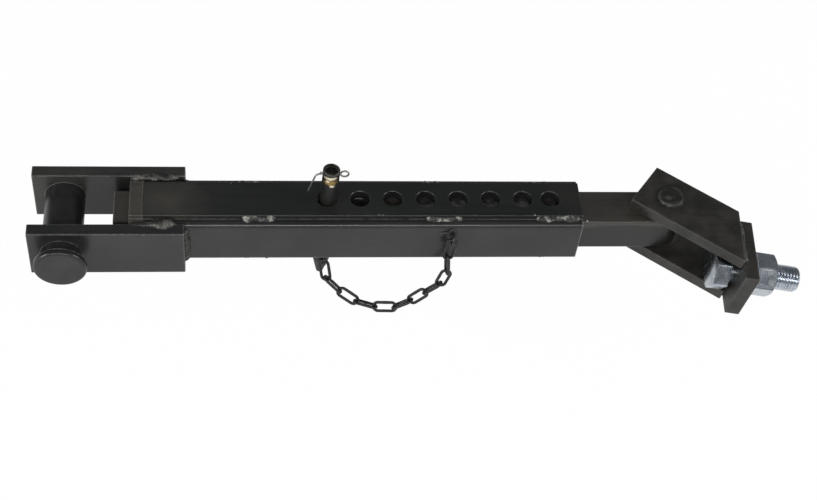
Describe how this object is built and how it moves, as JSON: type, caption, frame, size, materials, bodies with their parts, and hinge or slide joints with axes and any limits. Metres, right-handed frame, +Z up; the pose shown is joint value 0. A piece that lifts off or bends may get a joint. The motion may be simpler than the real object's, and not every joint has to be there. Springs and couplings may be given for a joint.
{
  "type": "telescopic stabiliser strut",
  "caption": "Telescopic square-section stabiliser strut with a clevis and pin at one end, a row of adjustment holes with a chained lock pin, and a swivelling fork with a threaded stud.",
  "frame": {"origin": "Centre of the clevis pin, midway between the ears.", "axes": "+X runs along the box towards the fork, +Y is along the clevis pin to the side away from the chain and the pin's head, +Z is up, along the lock pin's holes."},
  "size_m": [0.7024, 0.1336, 0.165],
  "materials": {
    "satin_black_paint": "satin",
    "black_chain": "semi-gloss",
    "zinc_plated_steel": "satin, slightly blue",
    "bright_wire": "drawn wire"
  },
  "bodies": {
    "outer": {"ear_front": "satin_black_paint", "ear_back": "satin_black_paint", "end_collar": "satin_black_paint", "side_wall_front": "satin_black_paint", "side_wall_back": "satin_black_paint", "top_cover": "satin_black_paint", "bottom_cover": "satin_black_paint", "box_welds": "satin_black_paint", "clevis_welds": "satin_black_paint", "chain_staple": "satin_black_paint", "chain_link_01": "black_chain", "chain_link_02": "black_chain", "chain_link_03": "black_chain", "chain_link_04": "black_chain", "chain_link_05": "black_chain", "chain_link_06": "black_chain", "chain_link_07": "black_chain", "chain_link_08": "black_chain", "chain_link_09": "black_chain", "chain_link_10": "black_chain", "chain_link_11": "black_chain"},
    "bar": {"sliding_bar": "satin_black_paint"},
    "fork": {"fork_top_plate": "satin_black_paint", "fork_bottom_plate": "satin_black_paint", "fork_end_plate": "satin_black_paint", "fork_welds": "satin_black_paint", "pivot_pin": "satin_black_paint", "bolt": "zinc_plated_steel", "washer": "zinc_plated_steel"},
    "nut": {"nut": "zinc_plated_steel"},
    "lock_pin": {"lock_pin": "satin_black_paint", "lock_pin_eye": "satin_black_paint"},
    "split_pin": {"split_pin": "bright_wire"},
    "clevis_pin": {"clevis_pin": "satin_black_paint", "clevis_pin_head": "satin_black_paint"}
  },
  "joints": [
    {"name": "telescope", "type": "slide", "parent": "outer", "child": "bar", "axis": [1, 0, 0], "range_m": [-0.025, 0]},
    {"name": "fork_swivel", "type": "hinge", "parent": "bar", "child": "fork", "pos_m": [0.555, 0, 0], "axis": [0, 0, 1], "range_deg": [-50, 126]},
    {"name": "nut_spin", "type": "hinge", "parent": "fork", "child": "nut", "pos_m": [0.60914, -0.05917, -0.00159], "axis": [0.9885, -0.09, -0.1219], "continuous": true},
    {"name": "lock_pin_slide", "type": "slide", "parent": "outer", "child": "lock_pin", "axis": [0.0332, 0, 0.9995], "range_m": [-0.009, 0.009], "deforming": ["chain_link_01", "chain_link_02", "chain_link_03", "chain_link_04", "chain_link_05", "chain_link_06", "chain_link_07", "chain_link_08", "chain_link_09", "chain_link_10", "chain_link_11"]},
    {"name": "split_pin_turn", "type": "hinge", "parent": "lock_pin", "child": "split_pin", "pos_m": [0.23814, 0, 0.06446], "axis": [0.9995, 0, -0.0332], "range_deg": [-60, 60]},
    {"name": "clevis_pin_slide", "type": "slide", "parent": "outer", "child": "clevis_pin", "axis": [0, 1, 0], "range_m": [-0.07, 0.0117]}
  ]
}
